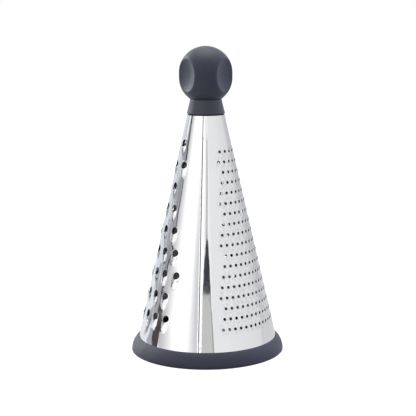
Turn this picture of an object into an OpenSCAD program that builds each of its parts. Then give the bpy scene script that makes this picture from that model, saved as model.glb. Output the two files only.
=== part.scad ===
// Conical hand grater: one rolled sheet of steel with three grating zones,
// a soft base ring, a flared collar and a soft ball knob held by one screw.
// Millimetres, +Z up, origin on the table under the cone's axis.

/* [Cone] */
// Radius of the cone's outer face at the level of the table
cone_foot_r = 56.66; // [52:0.1:60]
// Radius of the cone's outer face at its top edge
cone_neck_r = 14.45; // [13.5:0.05:16]
// Height of the cone's top edge above the table
cone_top_z = 185.4; // [175:0.5:215]
// Thickness of the sheet
sheet_t = 0.5; // [0.4:0.05:0.7]
// Width of the strip where the sheet's ends lap
lap_w = 9; // [6:0.5:14]
// Width of the open line along the outer end of the sheet
lap_line_w = 0.5; // [0.3:0.05:0.8]
// Depth of that line
lap_line_d = 0.3; // [0.1:0.05:0.35]

/* [Coarse teeth] */
// Radius of the hole above each coarse tooth
coarse_hole_r = 2.95; // [2.4:0.05:3.2]
// Width of a coarse tooth's open mouth, along the sheet
coarse_mouth_w = 6.8; // [5.6:0.1:7.4]
// Height of a coarse tooth's lip above the sheet
coarse_rise = 1.9; // [1.4:0.1:2.4]
// Length of a coarse tooth from its lip to its tip
coarse_length = 9.5; // [7:0.25:11]
// Distance between the coarse rows, along the slant
coarse_row_pitch = 16.83; // [16:0.01:18.5]
// Distance between coarse teeth in a row
coarse_tooth_pitch = 12.13; // [11:0.01:14]
// Number of coarse rows
coarse_rows = 9; // [4:1:9]

/* [Medium teeth] */
// Radius of the hole above each medium tooth
medium_hole_r = 2; // [1.6:0.05:2.2]
// Width of a medium tooth's open mouth, along the sheet
medium_mouth_w = 4.6; // [3.8:0.1:5]
// Height of a medium tooth's lip above the sheet
medium_rise = 1.4; // [1:0.1:1.7]
// Length of a medium tooth from its lip to its tip
medium_length = 6.4; // [5:0.2:7.2]
// Distance between the medium rows, along the slant
medium_row_pitch = 15.8; // [11:0.1:16.2]
// Distance between medium teeth in a row
medium_tooth_pitch = 12.4; // [9:0.1:14]
// Number of medium rows
medium_rows = 9; // [5:1:9]

/* [Fine teeth] */
// Radius of each fine hole
fine_hole_r = 1.05; // [0.8:0.05:1.3]
// Distance between the fine rows, along the slant
fine_row_pitch = 7.906; // [7:0.002:8.2]
// Distance between fine holes in a row
fine_hole_pitch = 4.838; // [4.4:0.002:6]
// Number of fine rows
fine_rows = 18; // [6:1:18]

/* [Base ring] */
// How far the base ring stands out past the cone's foot at the table
ring_stand = 3.34; // [2:0.02:6]
// Height at which the ring's round side meets the cone
ring_h = 11.3; // [10:0.1:14]
// Thickness of the ring's lip where it meets the cone
ring_lip_t = 0.35; // [0.2:0.05:1]
// Size of the bevel round the ring's lower edge
ring_bevel = 0.6; // [0.2:0.1:1]
// Thickness of the soft ring under its carrier
ring_sole_t = 1.5; // [1:0.1:2.5]
// Thickness of the carrier's floor
carrier_floor_t = 1.8; // [1.2:0.1:2.5]
// Thickness of the carrier's inner and outer walls
carrier_wall_t = 1.3; // [1:0.1:1.8]
// Height of the carrier's inner wall above the table
carrier_inner_z = 12.6; // [9:0.1:16]
// Height of the carrier's outer wall above the table
carrier_outer_z = 7; // [5:0.1:8]

/* [Collar] */
// Height of the collar between the cone and the knob
collar_h = 11.9; // [8:0.1:16]
// Radius of the collar under the knob
collar_top_r = 12.2; // [11:0.1:13.5]
// How far the collar overhangs the cone's top edge
collar_overhang = 0.4; // [0.2:0.05:1.5]
// Depth of the collar's spigot inside the cone
spigot_h = 2.4; // [1.5:0.1:3]
// Radius of the recess in the collar that centres the knob
register_r = 6.6; // [6:0.1:8]
// Depth of that recess
register_d = 2; // [1:0.1:3]

/* [Knob] */
// Radius of the ball
ball_r = 21; // [19:0.1:24]
// Height of the straight band round the ball's middle
ball_band = 2.2; // [1:0.1:6]
// Thickness of the soft skin on the ball
skin_t = 2.5; // [1.5:0.1:3]
// Radius of a thumb dimple's rim
dimple_r = 12.3; // [9:0.1:13]
// Depth of a dimple below its rim
dimple_depth = 2.65; // [1.5:0.05:3.5]
// Number of dimples round the ball
dimple_count = 3; // [2:1:4]

/* [Fastening] */
// Radius of the long screw's shank
screw_r = 2.5; // [2:0.1:3]
// Radius of the screw's head
screw_head_r = 4.7; // [4.2:0.1:5]
// Thickness of the screw's head
screw_head_h = 3.2; // [2:0.1:4]
// Outer radius of the washer
washer_r = 6; // [5.5:0.1:6.5]
// Thickness of the washer
washer_t = 1; // [0.6:0.1:1.6]
// Outer radius of the brass insert
insert_r = 4; // [3.6:0.1:4.6]
// Length of the brass insert
insert_h = 13; // [9:0.5:16]
// Height of the plug that wedges inside the cone's top
plug_h = 12; // [9:0.5:16]
// Thickness of the plug's wall and ribs
plug_wall_t = 2; // [1.4:0.1:2.4]
// Thickness of the plug's roof under the collar
plug_roof_t = 4; // [3:0.1:5]
// Gap between pieces that seat in one another
fit = 0.1; // [0.05:0.01:0.2]

/* [Hidden] */

// Overrun of every cutting solid past the face that it cuts
over = 1;
smooth = 96;
small = 32;
tiny = 20;

// Cone
slope = (cone_foot_r - cone_neck_r) / cone_top_z;
half_angle = atan(slope);
wall_r = sheet_t / cos(half_angle);
slant_foot = cone_foot_r / sin(half_angle);
sheet_bottom_z = ring_sole_t + carrier_floor_t + fit;
seam_angle = -97;
panel_angle = 60;

// Grating zones: the direction that each faces, the slant distance of its
// lowest row from the table, the row's widths and the skew of the pattern
coarse_angle = -154;
coarse_low = 33.9;
coarse_wide = 56.8;
coarse_narrow = 8.8;
coarse_start = -3.75;
coarse_skew = -5.46;
medium_angle = 86;
medium_low = 34;
medium_wide = 56;
medium_narrow = 11;
medium_start = 0;
medium_skew = 6.2;
fine_angle = -34;
fine_low = 28.2;
fine_wide = 76.8;
fine_narrow = 23.6;
fine_start = 1.58;
fine_skew = -2.077;
tooth_tip_r = 0.4;
tooth_tip_depth = tooth_tip_r + sheet_t / 2;

// Base ring
ring_r = cone_foot_r + ring_stand;
carrier_floor_z = ring_sole_t + carrier_floor_t;
carrier_in_r = cone_foot_r - slope * ring_sole_t - wall_r - fit - carrier_wall_t;
carrier_out_r = cone_foot_r - slope * carrier_floor_z + fit + carrier_wall_t;
ring_top_r = cone_foot_r - slope * ring_h + fit + ring_lip_t;
ring_swell = ring_r - ring_top_r;
ring_curve_r = (pow(ring_swell, 2) + pow(ring_h, 2)) / (2 * ring_swell);

// Collar and knob
collar_z = cone_top_z + fit;
spigot_r = cone_neck_r - wall_r - fit;
seat_z = collar_z + collar_h;
ball_foot_z = seat_z + fit;
ball_foot_r = collar_top_r - fit;
ball_low_z = ball_foot_z + sqrt(pow(ball_r, 2) - pow(ball_foot_r, 2));
core_r = ball_r - skin_t;
core_foot_z = seat_z - register_d + fit;
dimple_rim = sqrt(pow(ball_r, 2) - pow(dimple_r, 2));
dimple_cut_r = (pow(dimple_r, 2) + pow(dimple_depth, 2)) / (2 * dimple_depth);
dimple_reach = dimple_rim + dimple_cut_r - dimple_depth;
dimple_first_angle = 90;

// Fastening
plug_top_z = collar_z - spigot_h - fit;
plug_low_z = plug_top_z - plug_h;
hub_r = washer_r + fit + plug_wall_t;
washer_z = plug_top_z - plug_roof_t - washer_t;
rib_count = 6;
insert_z = core_foot_z + fit;
insert_waist_h = 2;
insert_waist_d = 0.6;
screw_short = 1;
screw_top_z = insert_z + insert_h - screw_short;
cross_w = 1.1;
cross_d = 1.8;
cross_l = 5.4;
head_bevel = 0.8;

// Radius of the cone's outer face at a height above the table
function cone_r(z) = cone_foot_r - slope * z;

// Radius of the cone's inner face at a height above the table
function inner_r(z) = cone_r(z) - wall_r;

// Radius of the arched mouth that has a given width and rise
function mouth_r(width, rise) = (pow(width / 2, 2) + pow(rise, 2)) / (2 * rise);

// Frustum that follows the cone between two heights, grown by a distance
module cone_body(low, high, grow = 0) {
  translate([0, 0, low])
    cylinder(h = high - low, r1 = cone_r(low) + grow, r2 = cone_r(high) + grow, $fn = smooth);
}

// Cylinder round the axis between two heights
module disc(low, high, radius, sides = smooth) {
  translate([0, 0, low])
    cylinder(h = high - low, r = radius, $fn = sides);
}

// Puts a piece on the cone's outer face: its x points outwards and its z
// up the slant, at a slant distance from the table
module on_cone(up, angle) {
  slant = slant_foot - up;
  rotate([0, 0, angle])
    translate([slant * sin(half_angle), 0, up * cos(half_angle)])
      rotate([0, -half_angle, 0])
        children();
}

// Repeats a tooth over a zone whose rows narrow towards the top. Each row
// is moved along by the skew, as in a pattern punched in the flat sheet.
module zone(angle, low, rows, row_pitch, pitch, wide, narrow, start, skew) {
  for (row = [0 : rows - 1]) {
    up = low + row * row_pitch;
    turn = 180 / PI / ((slant_foot - up) * sin(half_angle));
    half = (wide + (narrow - wide) * row / (rows - 1)) / 2;
    base = start + row * skew;
    for (col = [ceil((-half - base) / pitch) : 1 : floor((half - base) / pitch)])
      on_cone(up, angle + (base + col * pitch) * turn)
        children();
  }
}

module coarse_zone() {
  zone(coarse_angle, coarse_low, coarse_rows, coarse_row_pitch, coarse_tooth_pitch,
       coarse_wide, coarse_narrow, coarse_start, coarse_skew)
    children();
}

module medium_zone() {
  zone(medium_angle, medium_low, medium_rows, medium_row_pitch, medium_tooth_pitch,
       medium_wide, medium_narrow, medium_start, medium_skew)
    children();
}

module fine_zone() {
  zone(fine_angle, fine_low, fine_rows, fine_row_pitch, fine_hole_pitch,
       fine_wide, fine_narrow, fine_start, fine_skew)
    children();
}

// One tooth's scoop or, with a wall, the hollow inside it. It is a cone that
// lies under the sheet at its mouth and runs out into the sheet at its tip.
module scoop(hole_r, width, rise, length, wall, ahead) {
  round_r = mouth_r(width, rise);
  taper = (round_r - tooth_tip_r) / length;
  sink = round_r - rise;
  tilt = atan((sink - tooth_tip_depth) / length);
  reach = wall > 0 ? (round_r - wall - tooth_tip_r / 2) / taper : length;
  translate([-sink, 0, sheet_t - hole_r])
    rotate([0, -tilt, 0])
      translate([0, 0, -reach])
        cylinder(
          h = reach + ahead,
          r1 = round_r - wall - taper * reach,
          r2 = round_r - wall + taper * ahead,
          $fn = small
        );
}

module tooth(hole_r, width, rise, length) {
  scoop(hole_r, width, rise, length, 0, 0);
}

module tooth_cut(hole_r, width, rise, length) {
  scoop(hole_r, width, rise, length, sheet_t, sheet_t);
  rotate([0, 90, 0])
    cylinder(h = 2 * (rise + over), r = hole_r, center = true, $fn = small);
}

module fine_cut() {
  rotate([0, 90, 0])
    cylinder(h = 2 * (sheet_t + over), r = fine_hole_r, center = true, $fn = tiny);
}

// Bar along the seam that reaches a depth below the outer face
module seam_bar(width, depth) {
  on_cone(-over, seam_angle)
    translate([-depth, -width / 2, 0])
      cube([depth + over, width, cone_top_z / cos(half_angle) + 2 * over]);
}

// Strip where the sheet's inner end runs on behind the seam, between the base
// carrier and the plug
module lap() {
  low = carrier_inner_z + over;
  high = plug_low_z - over;
  intersection() {
    difference() {
      cone_body(low, high);
      cone_body(low - over, high + over, -2 * wall_r);
    }
    seam_bar(lap_w, 3 * wall_r);
  }
}

// Part of the solid cone between two directions, cut out by a wedge
module cone_part(first, last) {
  reach = 2 * cone_foot_r;
  middle = (first + last) / 2;
  intersection() {
    union() {
      cone_body(sheet_bottom_z, cone_top_z);
      children();
    }
    linear_extrude(height = cone_top_z + over)
      polygon([
        [0, 0],
        reach * [cos(first), sin(first)],
        2 * reach * [cos(middle), sin(middle)],
        reach * [cos(last), sin(last)]
      ]);
  }
}

// The hollow inside the sheet
module cone_hollow() {
  cone_body(sheet_bottom_z - over, cone_top_z + over, -wall_r);
}

// The same hollow less the lap, for the two panels that meet at the seam
module lapped_hollow() {
  difference() {
    cone_hollow();
    lap();
  }
}

module coarse_panel() {
  difference() {
    cone_part(coarse_angle - panel_angle, seam_angle)
      coarse_zone()
        tooth(coarse_hole_r, coarse_mouth_w, coarse_rise, coarse_length);
    lapped_hollow();
    coarse_zone()
      tooth_cut(coarse_hole_r, coarse_mouth_w, coarse_rise, coarse_length);
    seam_bar(lap_line_w, lap_line_d);
  }
}

module medium_panel() {
  difference() {
    cone_part(medium_angle - panel_angle, medium_angle + panel_angle)
      medium_zone()
        tooth(medium_hole_r, medium_mouth_w, medium_rise, medium_length);
    cone_hollow();
    medium_zone()
      tooth_cut(medium_hole_r, medium_mouth_w, medium_rise, medium_length);
  }
}

module fine_panel() {
  difference() {
    cone_part(seam_angle, fine_angle + panel_angle);
    lapped_hollow();
    fine_zone()
      fine_cut();
    seam_bar(lap_line_w, lap_line_d);
  }
}

// The whole rolled sheet: three panels in one piece, with the seam's open
// line between two of them and the lap behind it
module cone_shell() {
  color("silver") {
    coarse_panel();
    medium_panel();
    fine_panel();
  }
}

// Rigid ring with a channel that holds the sheet's lower edge
module base_carrier() {
  color("dimgray")
    rotate_extrude($fn = smooth)
      polygon([
        [carrier_in_r, ring_sole_t],
        [carrier_out_r, ring_sole_t],
        [carrier_out_r, carrier_outer_z],
        [cone_r(carrier_outer_z) + fit, carrier_outer_z],
        [cone_r(carrier_floor_z) + fit, carrier_floor_z],
        [inner_r(carrier_floor_z) - fit, carrier_floor_z],
        [inner_r(carrier_inner_z) - fit, carrier_inner_z],
        [inner_r(carrier_inner_z) - fit - carrier_wall_t, carrier_inner_z]
      ]);
}

// Soft outer ring: a round shoulder over the carrier and a flat sole
module base_grip_ring() {
  color("dimgray")
    rotate_extrude($fn = smooth)
      difference() {
        intersection() {
          translate([ring_r - ring_curve_r, 0])
            circle(r = ring_curve_r, $fn = smooth);
          translate([carrier_in_r, 0])
            square([ring_curve_r, ring_h]);
        }
        polygon([
          [carrier_in_r - over, ring_sole_t],
          [carrier_out_r + fit, ring_sole_t],
          [carrier_out_r + fit, carrier_outer_z + fit],
          [cone_r(carrier_outer_z) + fit, carrier_outer_z + fit],
          [cone_r(ring_h + over) + fit, ring_h + over],
          [carrier_in_r - over, ring_h + over]
        ]);
        polygon([
          [ring_r - ring_bevel, 0],
          [ring_r - ring_bevel, -over],
          [ring_r + over, -over],
          [ring_r + over, ring_bevel + over],
          [ring_r, ring_bevel]
        ]);
      }
}

// Conical plug that the screw draws up against the inside of the sheet
module top_plug() {
  color("dimgray")
    difference() {
      cone_body(plug_low_z, plug_top_z, -wall_r - fit);
      disc(plug_low_z - over, plug_top_z + over, screw_r + fit, small);
      disc(plug_low_z - over, washer_z + washer_t, washer_r + fit);
      difference() {
        cone_body(plug_low_z - over, washer_z + washer_t, -wall_r - fit - plug_wall_t);
        disc(plug_low_z - 2 * over, washer_z + washer_t + over, hub_r);
        for (rib = [0 : rib_count - 1])
          rotate([0, 0, rib * 360 / rib_count])
            translate([0, -plug_wall_t / 2, plug_low_z - 2 * over])
              cube([cone_foot_r, plug_wall_t, plug_h + 2 * over]);
      }
    }
}

// Flared neck between the sheet and the ball, centred by a spigot below
module collar() {
  color("dimgray")
    difference() {
      rotate_extrude($fn = smooth)
        polygon([
          [0, collar_z - spigot_h],
          [spigot_r, collar_z - spigot_h],
          [spigot_r, collar_z],
          [cone_neck_r + collar_overhang, collar_z],
          [collar_top_r, seat_z],
          [0, seat_z]
        ]);
      disc(collar_z - spigot_h - over, seat_z + over, screw_r + fit, small);
      disc(seat_z - register_d, seat_z + over, register_r + fit);
    }
}

// Outline of the ball from its flat foot to its top, with a straight band
module ball_outline(radius) {
  difference() {
    translate([0, ball_foot_z])
      square([radius, ball_low_z - ball_foot_z + ball_band + radius]);
    difference() {
      translate([0, ball_foot_z - over])
        square([radius + over, ball_low_z - ball_foot_z + over]);
      translate([0, ball_low_z])
        circle(r = radius, $fn = smooth);
    }
    difference() {
      translate([0, ball_low_z + ball_band])
        square([radius + over, radius + over]);
      translate([0, ball_low_z + ball_band])
        circle(r = radius, $fn = smooth);
    }
  }
}

// Ball of revolution with its thumb dimples
module ball(radius, dimple_cut) {
  difference() {
    rotate_extrude($fn = smooth)
      ball_outline(radius);
    for (dimple = [0 : dimple_count - 1])
      rotate([0, 0, dimple_first_angle + dimple * 360 / dimple_count])
        translate([dimple_reach, 0, ball_low_z + ball_band / 2])
          sphere(r = dimple_cut, $fn = smooth);
  }
}

// Rigid core of the ball, with a boss that centres it in the collar
module knob_core() {
  color("gray")
    difference() {
      union() {
        ball(core_r, dimple_cut_r + skin_t);
        disc(core_foot_z, ball_low_z, register_r);
      }
      disc(core_foot_z - over, insert_z + insert_h + fit, insert_r + fit, small);
    }
}

// Soft skin moulded over the core
module knob_grip() {
  color("dimgray")
    difference() {
      ball(ball_r, dimple_cut_r);
      ball(core_r + fit, dimple_cut_r + skin_t - fit);
      disc(ball_foot_z - over, ball_low_z, register_r + fit);
    }
}

module thread_insert() {
  color("goldenrod")
    difference() {
      disc(insert_z, insert_z + insert_h, insert_r, small);
      disc(insert_z - over, insert_z + insert_h + over, screw_r + fit, small);
      difference() {
        disc(insert_z + (insert_h - insert_waist_h) / 2,
             insert_z + (insert_h + insert_waist_h) / 2, insert_r + over, small);
        disc(insert_z, insert_z + insert_h, insert_r - insert_waist_d, small);
      }
    }
}

module washer() {
  color("lightgray")
    difference() {
      disc(washer_z, washer_z + washer_t, washer_r);
      disc(washer_z - over, washer_z + washer_t + over, screw_r + fit, small);
    }
}

// Long screw with a cross recess, put in from inside the cone
module screw() {
  head_z = washer_z - screw_head_h;
  color("lightgray")
    difference() {
      union() {
        translate([0, 0, head_z])
          cylinder(h = head_bevel, r1 = screw_head_r - head_bevel, r2 = screw_head_r, $fn = small);
        disc(head_z + head_bevel, washer_z, screw_head_r, small);
        disc(head_z + head_bevel, screw_top_z, screw_r, small);
      }
      for (turn = [0, 90])
        rotate([0, 0, turn])
          translate([-cross_l / 2, -cross_w / 2, head_z - over])
            cube([cross_l, cross_w, cross_d + over]);
    }
}

cone_shell();
base_carrier();
base_grip_ring();
top_plug();
collar();
knob_core();
knob_grip();
thread_insert();
washer();
screw();
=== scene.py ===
import math
import random

import bmesh
import bpy
from bpy.props import FloatProperty, FloatVectorProperty, IntProperty, PointerProperty
from mathutils import Matrix, Vector


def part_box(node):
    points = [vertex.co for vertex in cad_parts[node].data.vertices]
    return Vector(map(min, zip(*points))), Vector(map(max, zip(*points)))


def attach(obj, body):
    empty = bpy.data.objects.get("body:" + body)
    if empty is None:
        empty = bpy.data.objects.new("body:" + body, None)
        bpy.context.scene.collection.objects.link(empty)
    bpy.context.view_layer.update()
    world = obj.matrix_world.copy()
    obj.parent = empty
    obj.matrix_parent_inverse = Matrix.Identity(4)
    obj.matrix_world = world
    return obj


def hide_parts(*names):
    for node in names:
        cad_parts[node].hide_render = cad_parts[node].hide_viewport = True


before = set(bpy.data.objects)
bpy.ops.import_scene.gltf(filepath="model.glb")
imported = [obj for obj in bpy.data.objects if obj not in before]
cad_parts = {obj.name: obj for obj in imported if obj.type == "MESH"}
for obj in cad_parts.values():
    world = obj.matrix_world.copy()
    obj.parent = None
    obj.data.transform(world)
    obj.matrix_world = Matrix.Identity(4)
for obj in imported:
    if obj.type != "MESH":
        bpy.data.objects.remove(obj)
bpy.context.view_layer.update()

bl_info = {
    "name": "Conical Grater",
    "version": (1, 0, 0),
    "blender": (4, 5, 0),
    "location": "View3D > Sidebar > Grater",
    "description": "Dresses a conical grater's frame with its sheet, knob, collar and ring",
    "category": "Object",
}

MM = 0.001

# Boxes of the frame, each with its lowest and its highest corner
PLUG_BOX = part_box("top_plug")
CARRIER_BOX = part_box("base_carrier")
COLLAR_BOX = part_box("collar")
GRIP_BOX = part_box("knob_grip")
RING_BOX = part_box("base_grip_ring")
SHEET_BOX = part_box("cone_shell")

# How near a point and a cut, or two points, count as one
ON_CUT, SAME_POINT, SAME_BORDER = 0.0001 * MM, 0.001 * MM, 0.01 * MM


def distance(name, description, millimetres):
    """A length property, with its default given in millimetres."""
    return FloatProperty(
        name=name, description=description, default=millimetres * MM,
        unit="LENGTH", subtype="DISTANCE", precision=5,
    )


def direction(name, description, degrees):
    """An angle property, with its default given in degrees."""
    return FloatProperty(
        name=name, description=description, default=math.radians(degrees),
        unit="ROTATION", subtype="ANGLE",
    )


def colour(name, description, rgb):
    """A colour property in linear light."""
    return FloatVectorProperty(
        name=name, description=description, default=rgb, size=3,
        min=0.0, max=1.0, subtype="COLOR",
    )


def share(name, description, default):
    """A plain number from nought to one."""
    return FloatProperty(
        name=name, description=description, default=default,
        min=0.0, max=1.0, subtype="FACTOR",
    )


class GraterSheet(bpy.types.PropertyGroup):
    """Sizes of the rolled steel sheet."""

    foot_radius: distance("Foot radius", "Outer radius of the cone at the table", 56.66)
    neck_radius: distance("Neck radius", "Outer radius of the cone at its top edge", 14.45)
    top: distance("Top", "Height of the sheet's top edge", 185.4)
    thickness: distance("Thickness", "Thickness of the sheet", 0.5)
    seam: direction("Seam", "Direction that the outer end of the sheet faces", -7)
    lap: distance("Lap", "Width of the inner end that runs on behind the seam", 6)
    joggle: distance("Joggle", "Width over which the inner end sinks behind the outer", 1.7)
    seam_gap: distance("Seam gap", "Open line along the outer end of the sheet", 0.6)


class GraterZone(bpy.types.PropertyGroup):
    """One grating zone: its place on the sheet and the pattern of its teeth."""

    facing: direction("Facing", "Direction of the middle of the zone", -64)
    low: distance("Lowest row", "Slant distance from the table to the lowest row", 33.9)
    rows: IntProperty(name="Rows", description="Number of rows", default=9, min=2)
    row_pitch: distance("Row pitch", "Slant distance between rows", 16.83)
    pitch: distance("Pitch", "Distance between teeth in a row", 12.13)
    wide: distance("Bottom width", "Width of the lowest row", 56.8)
    narrow: distance("Top width", "Width of the highest row", 8.8)
    start: distance("Start", "Place of the lowest row's middle tooth", -3.75)
    skew: distance("Skew", "Shift of the pattern from one row to the next", -5.46)
    hole_radius: distance("Hole radius", "Radius of each hole", 2.95)
    mouth: distance("Mouth", "Width of a tooth's open mouth", 6.4)
    rise: distance("Rise", "Height of a tooth's lip above the sheet", 1.05)
    tail: distance("Tail", "Length of a tooth from its lip to its tip", 7.6)
    rim_rise: distance("Rim rise", "Height of the turned-up rim above a hole", 0.2)
    rim_width: distance("Rim width", "Width over which that rim runs out", 1.0)
    swell: distance("Swell", "Gentle swell that the punch leaves round a tooth", 0.05)
    above: distance("Above", "Part of a cell's height that lies above the hole", 4.2)
    across: IntProperty(name="Across", description="Faces across a cell", default=9, min=2)
    along: IntProperty(name="Along", description="Faces along a cell", default=11, min=2)


# Finishes of the sheet, in the order of its slots, each followed by that of its
# cut edges; the near-black ones are partly dull sheared steel and partly painted shade, in the
# seam's crevice and the fine holes
POLISHED, BRIGHT_RIM, POLISHED_LAP, DARK_RIM_AND_SHADE, MOTTLED, MOTTLED_RIM = range(6)

# Finishes of the collar: its skin, and near-black painted shade for its groove over the steel
SKIN, GROOVE_SHADE = range(2)

# What differs in each zone from the coarse one
ZONES = {
    "coarse": {},
    "medium": {
        "facing": math.radians(176), "low": 34 * MM, "row_pitch": 15.8 * MM, "pitch": 12.4 * MM,
        "wide": 56 * MM, "narrow": 11 * MM, "start": 0.0, "skew": 6.2 * MM,
        "hole_radius": 2 * MM, "mouth": 4.4 * MM, "rise": 0.9 * MM, "tail": 5.4 * MM,
        "above": 3.4 * MM, "across": 8, "along": 10,
    },
    "fine": {
        "facing": math.radians(56), "low": 28.2 * MM, "rows": 18, "row_pitch": 7.906 * MM,
        "pitch": 4.838 * MM, "wide": 76.8 * MM, "narrow": 23.6 * MM, "start": 1.58 * MM,
        "skew": -2.077 * MM, "hole_radius": 1.15 * MM, "mouth": 0.0, "rise": 0.2 * MM,
        "tail": 0.45 * MM, "above": 3.953 * MM, "across": 4, "along": 5,
    },
}


class GraterKnob(bpy.types.PropertyGroup):
    """Sizes of the soft ball knob."""

    radius: distance("Radius", "Radius of the ball", 21)
    foot_radius: distance("Foot radius", "Radius of the ball's flat foot", 12.1)
    skin: distance("Skin", "Thickness of the soft skin", 2.4)
    dimple_radius: distance("Dimple radius", "Radius of a thumb dimple's rim", 12.3)
    dimple_depth: distance("Dimple depth", "Depth of a dimple below its rim", 2.65)
    dimple_count: IntProperty(name="Dimples", description="Number of dimples", default=3, min=1)
    first: direction("First dimple", "Direction of the first dimple", 180)
    rim: distance("Rim", "Softness of a dimple's rim", 1.3)


class GraterNeck(bpy.types.PropertyGroup):
    """Sizes of the flared collar."""

    top_radius: distance("Top radius", "Radius under the knob", 12.2)
    foot_radius: distance("Foot radius", "Radius over the steel", 14.85)
    height: distance("Height", "Height of the flare", 11.9)
    spigot: distance("Spigot", "Radius of the spigot inside the sheet", 13.8)
    bore: distance("Bore", "Radius of the screw's hole", 2.6)
    recess: distance("Recess", "Radius of the recess under the knob", 6.7)
    recess_depth: distance("Recess depth", "Depth of that recess", 2)
    rounding: distance("Rounding", "Rounding of the outer edges", 0.3)
    groove: distance("Groove", "Height of the shadow line over the steel", 1.0)
    groove_depth: distance("Groove depth", "Depth of that line", 0.8)


class GraterRing(bpy.types.PropertyGroup):
    """Sizes of the soft base ring."""

    radius: distance("Radius", "Outer radius, widest at the table", 60)
    height: distance("Height", "Height where the ring meets the steel", 11.3)
    lip: distance("Lip", "Thickness of the ring's upper lip", 0.35)
    sole: distance("Sole", "Thickness under the carrier", 1.5)
    gap: distance("Gap", "Clearance to the carrier and the steel", 0.1)
    bevel: distance("Bevel", "Bevel round the lower edge", 0.7)
    channel: distance("Channel", "Height of the channel that the carrier fills", 7.1)
    carrier_wall: distance("Carrier wall", "Thickness of the carrier's inner wall", 1.3)


class GraterFinish(bpy.types.PropertyGroup):
    """Colours and gloss of every finish."""

    steel: colour("Steel", "Tint of the polished sheet", (0.86, 0.86, 0.85))
    # Near-black: dull sheared steel, and painted shade where it lines the seam's crevice and
    # the fine holes' walls
    cut_edge_and_shade: colour("Cut edge", "Tint of the sheet's sheared edges", (0.05, 0.05, 0.057))
    steel_gloss: share("Steel roughness", "Roughness of the polished sheet", 0.04)
    grip: colour("Grip", "Soft charcoal of knob, collar and ring", (0.031, 0.035, 0.061))
    grip_gloss: share("Grip roughness", "Roughness of the soft charcoal", 0.5)
    collar_gloss: share("Collar roughness", "Roughness of the rigid collar", 0.36)
    # Near-black painted shade on the faces of the collar's groove over the steel
    groove: colour("Groove", "Black of the groove over the steel", (0.004, 0.004, 0.007))
    plastic: colour("Plastic", "Rigid charcoal plastic inside", (0.03, 0.032, 0.037))
    zinc: colour("Zinc", "Bright zinc of screw and washer", (0.62, 0.63, 0.65))
    brass: colour("Brass", "Brass of the insert", (0.75, 0.52, 0.22))


# A tooth: its scoop's half width and height at the tip, and fillet; its lip's
# start below the hole's middle and its run, in hole radii; its swell's middle
# below the hole's and its reach, in tail lengths
TIP_HALF, TIP_RISE, FILLET = 0.3 * MM, 0.02 * MM, 0.3 * MM
LIP_START, LIP_RUN = 0.1, 0.7
SWELL_PLACE, SWELL_REACH = 0.4, 0.62

# A punched cell: how its rings crowd at the hole, where a tooth starts to fade
# on the way out, and the sunken rim, in sheet thicknesses and in hole radii
CROWDING, FADE = 1.35, 0.6
RIM_DEPTH, RIM_REACH = 0.3, 0.25

# The burrs' taper and uneven heights, how many cells differ, and their draw
TAPER, UNEVEN, VARIANTS, SEED = 1.5, (0.72, 1.12), 5, 11

# The lap: its cuts, in joggles; its depth, in sheet thicknesses; the length it
# takes to sink; and how far past the seam it runs beside carrier and plug
LAP_CUTS, LAP_DEPTH = (0, 0.2, 0.4, 0.6, 0.8, 1, 1.25), 1.15
LAP_RUN, LAP_PAST = 6 * MM, 0.02 * MM

# Half of a panel's turn, half of the gap welded shut between two panels, and
# how near to a border its edges lie
PANEL_HALF, WELD_HALF, WELD_NEAR = (math.radians(turn) for turn in (60, 0.4, 0.7))

# Angles in degrees: creases of sheet and moulded pieces, and rounded edges
SHEET_CREASE, MOULD_CREASE, ROUNDED_EDGE = 38, 50, 40

# Steps round the turned pieces, and along their arcs
KNOB_STEPS, COLLAR_STEPS, RING_STEPS = 168, 144, 192
CROWN_STEPS, BALL_STEPS, CORE_STEPS, SHOULDER_STEPS, FLARE_STEPS = 34, 24, 16, 14, 8

# Roundings of knob and ring, the hollow of the collar's flare, and how far in
# the knob's inner face counts, in skins
KNOB_ROUNDING, RING_ROUNDING, FLARE_HOLLOW = 0.3 * MM, 0.12 * MM, 0.12 * MM
INNER_FACE = 0.6


def smooth(value):
    """Smooth step from nought to one."""
    value = min(max(value, 0.0), 1.0)
    return value * value * (3 - 2 * value)


def soft_max(height, blend):
    """Height where it is positive, with a fillet towards nought."""
    if height > blend:
        return height
    if height < -blend:
        return 0.0
    return (height + blend) ** 2 / (4 * blend)


def cone(sheet):
    """Slant distance from the table to the cone's apex, and the sine and the
    cosine of the angle between its side and its axis."""
    tilt = math.atan((sheet.foot_radius - sheet.neck_radius) / sheet.top)
    return sheet.foot_radius / math.sin(tilt), math.sin(tilt), math.cos(tilt)


def rim_point(zone, sheet, turn):
    """Point of a hole's rim: round above, drawn in below to clear the lip."""
    x, y = zone.hole_radius * math.cos(turn), zone.hole_radius * math.sin(turn)
    if y < 0 and zone.mouth:
        y = (zone.hole_radius - sheet.thickness * 0.5) * math.sin(turn)
    return x, y


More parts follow.
